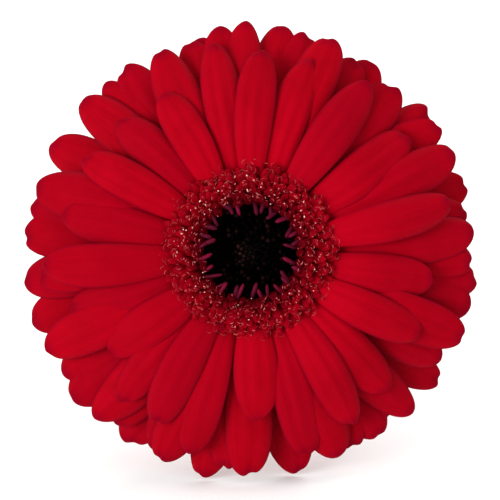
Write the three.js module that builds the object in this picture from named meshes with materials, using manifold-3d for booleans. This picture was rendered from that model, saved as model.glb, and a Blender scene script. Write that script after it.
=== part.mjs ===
// A cut gerbera laid on a table, in millimetres. The flower head is about 110 mm across and leans on its
// lowest ray florets, facing -Y and a little up. A bare green stem runs down behind it, towards +Y, and
// lies on the table at its cut end.
//
// The head is drawn in a frame of its own, the head frame: Z points out of the flower's face, Y runs up the
// face, and the origin is in the middle of the receptacle, level with the lowest row of ray florets.
import * as THREE from "three";
import Module from "manifold-3d";
import { mergeVertices } from "three/addons/utils/BufferGeometryUtils.js";

const wasm = await Module();
wasm.setup();

const { degToRad, lerp, smoothstep } = THREE.MathUtils;

// ---- Driving dimensions ----
const HEAD_RADIUS = 56; // middle of the face to the tip of the longest ray floret
const HEAD_LOOKS_UP = 17; // degrees that the face looks up from level
const GAP = 0.35; // left between neighbours that touch on the real flower

// Ray florets: thin straps, arched across, in three rows that stand one in front of the other.
const INNER_ROW_SHORTER = 5; // the inner row's reach, short of the head's
const FLORET_THICKNESS = 0.5;
const FLORET_ARCH = 0.065; // how far the edges bend back, as a share of the width
const FLORET_BOW = 0.0055; // how fast a floret bends back along its length, for each millimetre
const FLORET_BASE_WIDTH = 1.9;
const FLORET_TIP = 0.3; // the blunt tip's width, as a share of the floret's
const ROW_STEP = 2.6; // from one row's base to the next, along the head's axis
const LEVEL_STEP = 0.9; // neighbours in a row lie over and under each other by this much at the base
const LEVEL_SLOPE = 0.035; // and by this much more for each millimetre outwards
const ROLL = degToRad(2.5); // a floret's turn about its own length, at most
const SWAY = 1.1; // its bend to the side, at most

// The eye: closed buds in the middle, open disc florets round them, and a wreath of short trans florets.
const DISC_FLORET_WIDTH = 1.5; // the ring of open florets, at its foot
const DISC_FLORET_LEAN = 1.8; // how far they lean out over their foot
const DISC_FLORET_HEIGHT = 4.4;
const ANTHERS = 17; // bundles of anthers that lean in over the buds
const TRANS_WIDTH = 9.9; // the wreath, from inside to outside
const TRANS_THICKNESS = 3;
const TRANS_FLORETS = 21; // that show at the wreath's edge

// The back of the head and the stem.
const RECEPTACLE_RADIUS = 12; // the fleshy disc that carries every floret
const RECEPTACLE_TAPER = 0.42; // how fast it narrows towards the face
const RECEPTACLE_DEPTH = 17; // its back, down to the neck
const BRACT_THICKNESS = 1.3;
const BRACT_SPREAD = 3.2; // how far the bracts' tips stand out under the ray florets
const BRACTS = 14; // in the row that shows
const STEM_LENGTH = 300; // along the stem, from the back of the head to the cut
const NECK_RADIUS = 2.7; // just behind the head
const STEM_RADIUS = 3.3; // where it lies on the table
const STEM_SWING = 5; // how far it bends to the side before it lies down
const STEM_BEND = 0.4; // how long the bend to the level is, as a share of the straight fall before it

// Each row's florets, counted anticlockwise round the face from +X: [direction in degrees, millimetres that
// the tip falls short of the row's reach, 1 over its neighbours or 0 under them].
const ROWS = [
  {
    name: "outer_ray",
    base: 0,
    reach: HEAD_RADIUS,
    width: 12.2,
    widestAt: 0.7,
    slope: 0.2,
    florets: [
      [17, 1.2, 0], [39, 1, 1], [57, 1.7, 0], [82, 1.2, 1], [103, 3.4, 0], [124, 2.2, 1], [152, 1.5, 0],
      [176, 1.5, 1], [198, 0.8, 0], [220, 0.3, 1], [237, 1, 0], [258, 0.5, 1], [282, 1.2, 0], [305, 1.7, 1],
      [325, 0.3, 0], [352, 1, 1],
    ],
  },
  {
    name: "middle_ray",
    base: 1,
    reach: HEAD_RADIUS,
    width: 11.8,
    widestAt: 0.68,
    slope: 0.3,
    florets: [
      [5, 1.7, 0], [26, 1.2, 1], [48, 2.7, 0], [69, 0.8, 1], [91, 0.3, 0], [114, 2.7, 1], [138, 1.2, 0],
      [163, 2, 1], [187, 4.4, 0], [206, 1.2, 1], [227, 0.8, 0], [247, 1, 1], [269, 1.5, 0], [293, 2, 1],
      [315, 0.5, 0], [338, 0.3, 1],
    ],
  },
  {
    name: "inner_ray",
    base: 2,
    reach: HEAD_RADIUS - INNER_ROW_SHORTER,
    width: 10.6,
    widestAt: 0.64,
    slope: 0.4,
    florets: [
      [14, 1.3, 1], [36, 3.8, 0], [55, 1.3, 1], [72, 2.5, 0], [87, 2.5, 1], [100, 0, 0], [119, 7.9, 1],
      [135, 6.2, 0], [151, 5, 1], [169, 5, 0], [184, 1.3, 1], [198, 5.4, 0], [216, 9.1, 1], [229, 3, 0],
      [241, 3.8, 1], [253, 0.1, 0], [272, 10.3, 1], [286, 0.1, 0], [301, 2.5, 1], [315, 3.8, 0],
      [334, 5.4, 1], [351, 6.4, 0],
    ],
  },
];

const COLOURS = {
  ray: 0xb00018,
  transFloret: 0x82070f,
  discFloret: 0x3a0a14,
  discBud: 0x0a0406,
  bract: 0x5c7a3a,
  stem: 0x7d9a4e,
};

const INNER_ROW = ROWS[2];
const head = new THREE.Group();
head.rotation.x = degToRad(90 - HEAD_LOOKS_UP);

function addToHead(name, geometry, color, roughness) {
  const mesh = new THREE.Mesh(geometry, new THREE.MeshStandardMaterial({ color, roughness, metalness: 0 }));
  mesh.name = name;
  head.add(mesh);
}

// Moves every vertex of a geometry to where place(point) puts it.
function reshape(geometry, place) {
  const positions = geometry.getAttribute("position");
  const point = new THREE.Vector3();
  for (let i = 0; i < positions.count; i++) {
    point.fromBufferAttribute(positions, i);
    place(point);
    positions.setXYZ(i, point.x, point.y, point.z);
  }
  geometry.computeVertexNormals();
  return geometry;
}

// The radius of the receptacle's side at a height on the head's axis, in front of its widest place.
function receptacleRadius(z) {
  return RECEPTACLE_RADIUS - z * RECEPTACLE_TAPER;
}

// ---- Ray florets ----

// The head frame's height of a floret's middle, at a distance outwards from its base.
function floretHeight(row, level, along) {
  const start = row.base * ROW_STEP + level * LEVEL_STEP;
  return start + along * (row.slope + level * LEVEL_SLOPE) - FLORET_BOW * along ** 2;
}

// The floret's width at a share of its length: narrow at the base, full past the middle, round at the tip.
function floretWidth(row, share) {
  const spread = lerp(FLORET_BASE_WIDTH, row.width, smoothstep(share, -0.12, row.widestAt));
  const pastWidest = Math.max(share - row.widestAt, 0) / (1 - row.widestAt);
  return spread * Math.max(Math.sqrt(1 - pastWidest ** 2.8), FLORET_TIP);
}

// One ray floret: a box drawn out along Y, shaped to the outline, arched, bowed and then turned to its place.
function rayFloret(row, index) {
  const [direction, short, level] = row.florets[index];
  const baseRadius = receptacleRadius(row.base * ROW_STEP) + GAP;
  const length = row.reach - short - baseRadius;
  const roll = ROLL * Math.sin(index * 2.4);
  const sway = SWAY * Math.cos(index * 0.9);
  const strap = new THREE.BoxGeometry(1, 1, FLORET_THICKNESS, 4, 7, 1);
  reshape(strap, (p) => {
    const share = 1 - (0.5 - p.y) ** 1.35; // the steps get shorter towards the tip
    const across = p.x * floretWidth(row, share);
    const along = share * length;
    const arch = FLORET_ARCH * row.width * (2 * p.x) ** 2 * smoothstep(share, 0, 0.4);
    const thin = 1 - 0.4 * Math.abs(2 * p.x);
    const over = p.z * thin - arch;
    p.x = across * Math.cos(roll) - over * Math.sin(roll) + sway * Math.sin(Math.PI * share);
    p.y = baseRadius + along;
    p.z = across * Math.sin(roll) + over * Math.cos(roll) + floretHeight(row, level, along);
  });
  return strap.rotateZ(degToRad(direction - 90));
}

for (const row of ROWS) {
  row.florets.forEach((floret, index) => {
    const number = String(index + 1).padStart(2, "0");
    addToHead(`${row.name}_${number}`, rayFloret(row, index), COLOURS.ray, 0.6);
  });
}

// ---- Disc and trans florets ----

// A solid turned from a closed profile of [radius, height] points round the head's axis.
function turned(profile, segments) {
  const points = profile.map(([radius, height]) => new THREE.Vector2(radius, height));
  return new THREE.LatheGeometry(points, segments).rotateX(Math.PI / 2);
}

// Pushes the points of a turned solid in or out by a wave round the axis, as far as weigh(radius, z) says.
function scallop(geometry, waves, weigh) {
  return reshape(geometry, (p) => {
    const radius = Math.hypot(p.x, p.y);
    if (radius === 0) return;
    const shift = Math.cos(waves * Math.atan2(p.y, p.x)) * weigh(radius, p.z);
    p.x *= (radius + shift) / radius;
    p.y *= (radius + shift) / radius;
  });
}

// The height just over the face of the highest inner floret, at a radius on the head.
const TOP_LEVEL = 1;
function overInnerFlorets(radius) {
  const along = radius - receptacleRadius(INNER_ROW.base * ROW_STEP) - GAP;
  return floretHeight(INNER_ROW, TOP_LEVEL, along) + FLORET_THICKNESS / 2 + 1.6 * GAP;
}

const RECEPTACLE_TOP = INNER_ROW.base * ROW_STEP + TOP_LEVEL * LEVEL_STEP;
const DISC_FOOT = RECEPTACLE_TOP + GAP;
const DISC_RADIUS = receptacleRadius(RECEPTACLE_TOP) - 0.2;
const BUD_RADIUS = DISC_RADIUS - DISC_FLORET_WIDTH - GAP;
const EYE_RADIUS = DISC_RADIUS + DISC_FLORET_LEAN;
const TRANS_INSIDE = EYE_RADIUS + GAP;
const TRANS_OUTSIDE = TRANS_INSIDE + TRANS_WIDTH;
const TRANS_MIDDLE = (TRANS_INSIDE + TRANS_OUTSIDE) / 2;

const discBuds = turned(
  [
    [0, DISC_FOOT],
    [BUD_RADIUS - 0.4, DISC_FOOT],
    [BUD_RADIUS, DISC_FOOT + 0.8],
    [BUD_RADIUS * 0.85, DISC_FOOT + 2],
    [BUD_RADIUS * 0.5, DISC_FOOT + 2.4],
    [0, DISC_FOOT + 2.2],
  ],
  24,
);
addToHead("disc_buds", discBuds, COLOURS.discBud, 0.7);

const discFlorets = turned(
  [
    [BUD_RADIUS + GAP, DISC_FOOT],
    [DISC_RADIUS, DISC_FOOT],
    [EYE_RADIUS, DISC_FOOT + DISC_FLORET_HEIGHT * 0.6],
    [EYE_RADIUS - 0.8, DISC_FOOT + DISC_FLORET_HEIGHT],
    [BUD_RADIUS + 1, DISC_FOOT + DISC_FLORET_HEIGHT * 0.8],
    [BUD_RADIUS + GAP, DISC_FOOT],
  ],
  4 * ANTHERS,
);
const antherHeight = DISC_FOOT + DISC_FLORET_HEIGHT * 0.7;
scallop(discFlorets, ANTHERS, (radius, z) => (z > antherHeight && radius < DISC_RADIUS ? 0.6 : 0));
addToHead("disc_florets", discFlorets, COLOURS.discFloret, 0.6);

const transFlorets = turned(
  [
    [TRANS_INSIDE, overInnerFlorets(TRANS_INSIDE)],
    [TRANS_MIDDLE, overInnerFlorets(TRANS_MIDDLE)],
    [TRANS_OUTSIDE, overInnerFlorets(TRANS_OUTSIDE)],
    [TRANS_OUTSIDE - 1.5, overInnerFlorets(TRANS_OUTSIDE) + TRANS_THICKNESS * 0.6],
    [TRANS_MIDDLE, overInnerFlorets(TRANS_OUTSIDE) + TRANS_THICKNESS * 0.7],
    [TRANS_INSIDE + 1, overInnerFlorets(TRANS_INSIDE) + TRANS_THICKNESS * 1.6],
    [TRANS_INSIDE, overInnerFlorets(TRANS_INSIDE)],
  ],
  4 * TRANS_FLORETS,
);
scallop(transFlorets, TRANS_FLORETS, (radius) => (radius > TRANS_OUTSIDE - 2 ? 0.7 : 0));
addToHead("trans_florets", transFlorets, COLOURS.transFloret, 0.6);

// ---- Involucre: the green cup of bracts behind the florets ----

// The receptacle's back, from the neck to its widest place: [radius, height].
const RECEPTACLE_BACK = [
  [NECK_RADIUS + 0.3, -RECEPTACLE_DEPTH],
  [RECEPTACLE_RADIUS * 0.52, -RECEPTACLE_DEPTH * 0.72],
  [RECEPTACLE_RADIUS * 0.84, -RECEPTACLE_DEPTH * 0.42],
  [RECEPTACLE_RADIUS - 0.1, -RECEPTACLE_DEPTH * 0.12],
];
const UNDER_FLORETS = -FLORET_THICKNESS / 2 - GAP; // just behind the outer ray florets' bases
const BRACT_TIPS = RECEPTACLE_RADIUS + BRACT_SPREAD;
const cupInside = RECEPTACLE_BACK.map(([radius, z]) => [radius + 2 * GAP, z]).reverse();
const cupOutside = RECEPTACLE_BACK.map(([radius, z]) => [radius + 2 * GAP + BRACT_THICKNESS, z - 0.5]);
const involucre = turned(
  [
    ...cupOutside,
    [BRACT_TIPS, UNDER_FLORETS - 1.1],
    [BRACT_TIPS + 0.4, UNDER_FLORETS - 0.2],
    [RECEPTACLE_RADIUS + GAP, UNDER_FLORETS - 0.3],
    ...cupInside,
    cupOutside[0],
  ],
  4 * BRACTS,
);
scallop(involucre, BRACTS, (radius, z) => (radius > BRACT_TIPS - 1 ? 0.9 : 0.25 * smoothstep(-z, 0, 6)));
addToHead("involucre", involucre, COLOURS.bract, 0.7);

// ---- Stem ----

// The head is lifted until its lowest ray floret touches the table.
head.position.z = -new THREE.Box3().setFromObject(head, true).min.z;
head.updateMatrixWorld(true);

// The stem's line leaves the back of the head along its axis. It bends level where it comes down to the
// table, round the corner where its axis would meet the table, and lies flat from there to the cut.
const OVERLAP_IN_RECEPTACLE = 3;
const neck = new THREE.Vector3(0, 0, -RECEPTACLE_DEPTH + OVERLAP_IN_RECEPTACLE).applyMatrix4(head.matrixWorld);
const backwards = new THREE.Vector3(0, 0, -1).transformDirection(head.matrixWorld);
const corner = neck.clone().addScaledVector(backwards, (neck.z - STEM_RADIUS) / -backwards.z);
const touchDown = new THREE.Vector3(STEM_SWING, lerp(neck.y, corner.y, 1 + STEM_BEND), STEM_RADIUS);
const falling = new THREE.CubicBezierCurve3(
  neck,
  neck.clone().lerp(corner, 1 - STEM_BEND / 2),
  corner.clone().lerp(touchDown, 0.5),
  touchDown,
);
const lyingLength = STEM_LENGTH + OVERLAP_IN_RECEPTACLE - falling.getLength();
const lyingEnd = touchDown.clone().addScaledVector(falling.getTangentAt(1), lyingLength);
const stemLine = new THREE.CurvePath();
stemLine.add(falling);
stemLine.add(new THREE.LineCurve3(touchDown, lyingEnd));

// A cylinder bent along the stem's line. It thickens from the neck to the place where it meets the table.
const STEM_STEPS = 26;
const side = new THREE.Vector3(1, 0, 0);
const stem = reshape(new THREE.CylinderGeometry(1, 1, 1, 12, STEM_STEPS), (p) => {
  const share = 0.5 - p.y;
  const along = stemLine.getTangentAt(share);
  const across = side.clone().addScaledVector(along, -side.dot(along)).normalize();
  const over = new THREE.Vector3().crossVectors(along, across);
  const radius = lerp(NECK_RADIUS, STEM_RADIUS, smoothstep(share, 0, 0.6));
  const centre = stemLine.getPointAt(share);
  const { x, z } = p;
  p.copy(centre).addScaledVector(across, x * radius).addScaledVector(over, z * radius);
});

function asManifold(geometry) {
  const bare = new THREE.BufferGeometry().setAttribute("position", geometry.getAttribute("position"));
  bare.setIndex(geometry.index);
  const merged = mergeVertices(bare, 1e-3);
  return new wasm.Manifold(
    new wasm.Mesh({
      numProp: 3,
      vertProperties: new Float32Array(merged.getAttribute("position").array),
      triVerts: new Uint32Array(merged.index.array),
    }),
  );
}

function fromManifold(solid) {
  const mesh = solid.getMesh();
  return new THREE.BufferGeometry()
    .setAttribute("position", new THREE.BufferAttribute(mesh.vertProperties, 3))
    .setIndex(new THREE.BufferAttribute(mesh.triVerts, 1));
}

// The receptacle grows out of the stem, so the two are one solid.
const receptacle = turned(
  [
    [0, -RECEPTACLE_DEPTH],
    ...RECEPTACLE_BACK,
    [receptacleRadius(0), 0],
    [receptacleRadius(RECEPTACLE_TOP), RECEPTACLE_TOP],
    [0, RECEPTACLE_TOP],
  ],
  28,
).applyMatrix4(head.matrixWorld);
const scape = new THREE.Mesh(
  fromManifold(asManifold(stem).add(asManifold(receptacle))),
  new THREE.MeshStandardMaterial({ color: COLOURS.stem, roughness: 0.6, metalness: 0 }),
);
scape.name = "scape";

// ---- The whole flower, centred over its own foot ----
const flower = new THREE.Group();
flower.add(head, scape);
flower.updateMatrixWorld(true);
const box = new THREE.Box3().setFromObject(flower, true);
const middle = box.getCenter(new THREE.Vector3());
flower.position.set(-middle.x, -middle.y, -box.min.z);

export default flower;
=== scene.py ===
import math

import bpy
import numpy as np
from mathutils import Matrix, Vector


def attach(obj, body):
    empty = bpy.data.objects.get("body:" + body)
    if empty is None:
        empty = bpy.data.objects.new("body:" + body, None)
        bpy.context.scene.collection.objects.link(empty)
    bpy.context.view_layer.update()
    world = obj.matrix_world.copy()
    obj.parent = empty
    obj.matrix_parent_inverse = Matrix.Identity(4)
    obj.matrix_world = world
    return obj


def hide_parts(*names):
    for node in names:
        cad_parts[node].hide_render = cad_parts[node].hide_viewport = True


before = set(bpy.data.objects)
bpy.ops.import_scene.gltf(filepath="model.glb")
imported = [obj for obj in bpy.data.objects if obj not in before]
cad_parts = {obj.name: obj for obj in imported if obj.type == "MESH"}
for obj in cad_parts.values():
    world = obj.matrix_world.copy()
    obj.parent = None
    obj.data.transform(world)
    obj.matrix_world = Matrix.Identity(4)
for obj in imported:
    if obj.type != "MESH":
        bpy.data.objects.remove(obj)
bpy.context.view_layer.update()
MM = 0.001


# ---- The flower head's own frame ----
# A gerbera's head is built round one axis, which runs from the stem up through the middle of its face.
# Everything on the head is placed along that axis, out from it, and by its direction round it.


def solid_points(node):
    """The corners of a CAD solid, each one once, as rows of x, y, z in metres."""
    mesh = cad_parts[node].data
    points = np.empty(3 * len(mesh.vertices))
    mesh.vertices.foreach_get("co", points)
    return np.unique(np.round(points.reshape(-1, 3), 6), axis=0)


cup_points = solid_points("involucre")
bud_points = solid_points("disc_buds")
head_axis = bud_points.mean(axis=0) - cup_points.mean(axis=0)
head_axis /= np.linalg.norm(head_axis)
head_side = np.array([1.0, 0.0, 0.0])
head_up = np.cross(head_axis, head_side)
head_turn = np.stack([head_side, head_up, head_axis])
bud_heights = bud_points @ head_axis
head_middle = bud_points.mean(axis=0) + head_axis * (bud_heights.min() - bud_heights.mean())


def to_head(points):
    """Points of the row's frame as the head sees them: across its face, up its face, out of its face."""
    return (points - head_middle) @ head_turn.T


def from_head(points):
    """The same the other way: points of the head's frame in the row's frame."""
    return points @ head_turn + head_middle


# ---- Camera ----
# It looks straight into the flower's face, along the head's axis, from where a long lens sees it whole.
# The lens is worked out from the head's width.
HEAD_SHARE = 0.906  # of the view's width that the head fills
CAMERA_DISTANCE = 0.9
CAMERA_RISE = 0.3 * MM  # above the eye's middle
SENSOR_WIDTH = 36.0

outer_nodes = [node for node in sorted(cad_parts) if node.startswith("outer_ray")]
outer_points = np.concatenate([to_head(solid_points(node)) for node in outer_nodes])
head_width = np.ptp(outer_points[:, 0])
camera = bpy.data.objects.new("camera", bpy.data.cameras.new("camera"))
camera.data.sensor_width = SENSOR_WIDTH
camera.data.lens = SENSOR_WIDTH * CAMERA_DISTANCE * HEAD_SHARE / head_width
camera.data.clip_start = 0.05
camera.data.clip_end = 60.0
camera.location = head_middle + head_axis * CAMERA_DISTANCE + head_up * CAMERA_RISE
camera.rotation_mode = "QUATERNION"
camera.rotation_quaternion = Vector(-head_axis).to_track_quat("-Z", "Y")
bpy.context.scene.collection.objects.link(camera)
bpy.context.scene.camera = camera


# ---- Floor, light and air ----
# A wide pale matt table in an evenly lit white room. A large soft lamp stands low at the front left, a
# weaker one hangs overhead, and a third lights the stem and the back of the head from behind.
FLOOR_HALF = 20.0
TABLE_WHITES = (0.90, 0.90, 0.90), (0.93, 0.93, 0.92)
ROOM_LIGHT = 0.88


class Value:
    """A number that varies over a surface: a node's output socket with Python's arithmetic."""

    def __init__(self, finish, socket):
        self.finish = finish
        self.socket = socket

    def _math(self, operation, first, second):
        return self.finish.node("ShaderNodeMath", {"operation": operation}, [first, second])

    def __add__(self, other):
        return self._math("ADD", self, other)

    def __radd__(self, other):
        return self._math("ADD", other, self)

    def __mul__(self, other):
        return self._math("MULTIPLY", self, other)

    def __rmul__(self, other):
        return self._math("MULTIPLY", other, self)


class Finish:
    """A node material with one Principled shader, written as arithmetic on values and mixes of colours.

    The constants are the shader's own sockets, by name with _ for each space.
    """

    MIX_COLOURS = 6, 7  # places of the Mix node's two colour inputs
    MIX_RESULT = 2  # and of its colour output

    def __init__(self, name, **constants):
        self.material = bpy.data.materials.new(name)
        self.material.use_nodes = True
        self.tree = self.material.node_tree
        self.shader = self.tree.nodes["Principled BSDF"]
        for socket, value in constants.items():
            self.shader.inputs[socket.replace("_", " ")].default_value = value

    def node(self, kind, settings, values, output=0):
        """Adds a node, sets it up, and gives its inputs, by place or by name, their values or links."""
        made = self.tree.nodes.new(kind)
        for name, setting in settings.items():
            setattr(made, name, setting)
        pairs = values.items() if isinstance(values, dict) else enumerate(values)
        for key, value in pairs:
            self._feed(made.inputs[key], value)
        return Value(self, made.outputs[output])

    def _feed(self, socket, value):
        if isinstance(value, Value):
            self.tree.links.new(value.socket, socket)
        elif isinstance(value, tuple) and len(value) == 3 and socket.type == "RGBA":
            socket.default_value = (*value, 1.0)
        else:
            socket.default_value = value

    def set(self, socket, value):
        self._feed(self.shader.inputs[socket], value)

    def attribute(self, name):
        return self.node("ShaderNodeAttribute", {"attribute_name": name}, {}, "Fac")

    def place(self):
        return self.node("ShaderNodeTexCoord", {}, {}, "Object")

    def flat_place(self):
        return self.node("ShaderNodeTexCoord", {}, {}, "UV")

    def stretched(self, place, scale):
        return self.node("ShaderNodeMapping", {}, {"Vector": place, "Scale": scale})

    def noise(self, place, scale, detail=2.0):
        return self.node("ShaderNodeTexNoise", {}, {"Vector": place, "Scale": scale, "Detail": detail})

    def steps(self, value, low, high):
        """0 below low, 1 above high, and a straight climb between them."""
        return self.node("ShaderNodeMapRange", {}, [value, low, high, 0.0, 1.0])

    def mix(self, share, first, second):
        """Two colours mixed: all of the first at share 0, all of the second at share 1."""
        first_place, second_place = self.MIX_COLOURS
        values = {"Factor": share, first_place: first, second_place: second}
        return self.node("ShaderNodeMix", {"data_type": "RGBA"}, values, self.MIX_RESULT)

    def bump(self, height, distance, strength):
        values = {"Height": height, "Distance": distance, "Strength": strength}
        return self.node("ShaderNodeBump", {}, values)


def linked(name, data):
    made = bpy.data.objects.new(name, data)
    bpy.context.scene.collection.objects.link(made)
    return made


def soft_lamp(name, direction, distance, size, power):
    """A square lamp that shines on the head's middle from a direction."""
    data = bpy.data.lights.new(name, "AREA")
    data.size = size
    data.energy = power
    lamp = linked(name, data)
    towards = Vector(direction).normalized()
    lamp.location = Vector(head_middle) + towards * distance
    lamp.rotation_euler = towards.to_track_quat("Z", "Y").to_euler()


floor_mesh = bpy.data.meshes.new("floor")
floor_corners = [(x * FLOOR_HALF, y * FLOOR_HALF, 0.0) for x, y in ((-1, -1), (1, -1), (1, 1), (-1, 1))]
floor_mesh.from_pydata(floor_corners, [], [(0, 1, 2, 3)])
floor = linked("floor", floor_mesh)
floor_finish = Finish("pale_table", Roughness=0.9, Specular_IOR_Level=0.1)
floor_grain = floor_finish.noise(floor_finish.place(), 30.0)
floor_finish.set("Base Color", floor_finish.mix(floor_grain, *TABLE_WHITES))
floor.data.materials.append(floor_finish.material)

soft_lamp("key_lamp", (-0.90, -0.85, 0.18), 1.5, 0.9, 28.0)
soft_lamp("top_lamp", (0.2, 0.2, 1.0), 1.6, 1.4, 11.0)
soft_lamp("back_lamp", (0.5, 0.9, 0.7), 1.8, 1.4, 9.0)
world = bpy.data.worlds.new("white_room")
world.use_nodes = True
background = world.node_tree.nodes["Background"]
background.inputs["Color"].default_value = (1.0, 1.0, 1.0, 1.0)
background.inputs["Strength"].default_value = ROOM_LIGHT
bpy.context.scene.world = world
bpy.context.scene.view_settings.view_transform = "Standard"


# ---- Ray florets ----
# The red petals. Each is the strap of one long floret: soft, velvety, a third of a millimetre thick,
# arched across with a few shallow ribs, and rooted with a narrow claw in the receptacle's side.
RAY_ROWS = {  # length and widest place as shares, the tip's bluntness, then belly, rise and droop in mm
    "outer_ray": (1.01, 0.70, 0.54, 0.6, 3.0, 0.4),
    "middle_ray": (1.0, 0.69, 0.56, 1.0, 2.6, 1.6),
    "inner_ray": (1.0, 0.66, 0.60, 1.8, 0.0, 2.3),
}
RAY_THICKNESS = 0.32 * MM
RAY_ACROSS = 19  # points across a petal
RAY_ALONG = 37  # and along it
RAY_FULLNESS = 0.88, 1.05  # its width, as a share of its solid's
RAY_NOTCHES = 0.0, 0.3, 0.6, 0.9  # mm that a tip can be notched
RAY_ARCH = 0.9, 1.6  # mm
RAY_EDGE_TURN = 0.0, 0.6  # mm
RAY_EDGE_WAVE = 0.0, 0.3  # mm
RAY_DROOP_SPREAD = -0.6, 1.4  # mm on top of the row's droop
RAY_TWIST = 0.07  # at most, as a slope to either side
RAY_RIB_DEPTH = 0.08 * MM
RAY_GROOVES = -0.34, 0.3  # where the two grooves run, as shares of the half width
RAY_GROOVE_DEPTH = 0.1, 0.4  # mm
CLAW_WIDTH = 0.15  # as a share of the widest width
TIP_BAND = 0.4 * MM  # how much of a solid's end is its tip
VEIN_SHIFT = 0.37, 0.61  # in the pattern of veins, from one petal to the next
FLOOR_GAP = 0.02 * MM  # under what rests on the table
RAY_REDS = (0.245, 0.0001, 0.0042), (0.315, 0.0002, 0.0066)
# the brighter red towards the claw is painted light
CLAW_PAINTED_LIGHT_RED = (0.36, 0.0001, 0.0068)
DEEP_RED = (0.21, 0.0001, 0.0060)
# partly the petals' own purplish edge, partly painted shade along the edges and round the tips
RIM_PURPLE_AND_SHADE = (0.11, 0.0002, 0.0080)
BACK_RED = (0.30, 0.010, 0.018)


def shell(front, back):
    """Closed thin bodies from two grids of points each, a front and a back, with a strip round the edge.

    The grids are bodies x rows x columns x 3, or rows x columns x 3 for one body. A body's front comes
    first in its points, then its back.
    """
    rows, columns = front.shape[-3:-1]
    front, back = front.reshape(-1, rows, columns, 3), back.reshape(-1, rows, columns, 3)
    count = rows * columns
    index = np.arange(count).reshape(rows, columns)
    corners = [index[:-1, :-1], index[1:, :-1], index[1:, 1:], index[:-1, 1:]]
    face = np.stack(corners, axis=-1).reshape(-1, 4)
    edge = np.concatenate([index[0, :], index[1:, -1], index[-1, -2::-1], index[-2:0:-1, 0]])
    next_edge = np.roll(edge, -1)
    strip = np.stack([edge, next_edge, next_edge + count, edge + count], axis=-1)
    body = np.concatenate([face, face[:, ::-1] + count, strip])
    bodies = len(front)
    points = np.concatenate([front.reshape(bodies, -1, 3), back.reshape(bodies, -1, 3)], axis=1)
    faces = body[None] + 2 * count * np.arange(bodies)[:, None, None]
    return points.reshape(-1, 3), faces.reshape(-1, 4).tolist()


def surface_normals(grid):
    """Unit normals of grids of points, from the cross product of their two directions."""
    along = np.gradient(grid, axis=-3)
    across = np.gradient(grid, axis=-2)
    normals = np.cross(along, across)
    return normals / np.maximum(np.linalg.norm(normals, axis=-1, keepdims=True), 1e-12)


def mesh_piece(name, points, faces, material, attributes, uv=None):
    """A smooth mesh object in the row's frame, with its numbers per point and its flat map."""
    mesh = bpy.data.meshes.new(name)
    mesh.from_pydata(points.tolist(), [], faces)
    for key, numbers in attributes.items():
        layer = mesh.attributes.new(key, "FLOAT", "POINT")
        layer.data.foreach_set("value", np.asarray(numbers, dtype=np.float32).ravel())
    if uv is not None:
        corners = np.empty(len(mesh.loops), dtype=np.int32)
        mesh.loops.foreach_get("vertex_index", corners)
        layer = mesh.uv_layers.new(name="flat")
        layer.data.foreach_set("uv", uv[corners].astype(np.float32).ravel())
    mesh.polygons.foreach_set("use_smooth", np.full(len(mesh.polygons), True))
    mesh.materials.append(material)
    mesh.validate()
    return linked(name, mesh)


def ease(value, low, high):
    """A smooth climb from 0 at low to 1 at high: 3t^2 - 2t^3."""
    t = np.clip((value - low) / (high - low), 0.0, 1.0)
    return t * t * (3.0 - 2.0 * t)


def ray_lie(node):
    """Where a ray floret lies, from its CAD solid: direction, base, reach, width, sway, height and tilt.

    Its height is a square law of the distance outwards plus a tilt and an arch across it, fitted by least
    squares. Its sway is a parabola through the middles of the solid's rings.
    """
    points = to_head(solid_points(node))
    radius = np.hypot(points[:, 0], points[:, 1])
    tip = points[radius > radius.max() - TIP_BAND].mean(axis=0)
    outwards = tip[:2] / np.linalg.norm(tip[:2])
    along = points[:, :2] @ outwards
    across = points[:, :2] @ np.array([-outwards[1], outwards[0]])
    base, reach = along.min(), along.max()
    share = (along - base) / (reach - base)
    bulge = 4.0 * share * (1.0 - share)
    sway = (across * bulge).sum() / (bulge * bulge).sum()
    middle = across - sway * bulge
    terms = np.stack([np.ones_like(share), share, share**2, middle, middle**2], axis=1)
    fit = np.linalg.lstsq(terms, points[:, 2], rcond=None)[0]
    return {
        "outwards": outwards,
        "base": base,
        "reach": reach,
        "width": np.ptp(middle),
        "sway": sway,
        "height": fit[:3],
        "tilt": fit[3],
    }


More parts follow.
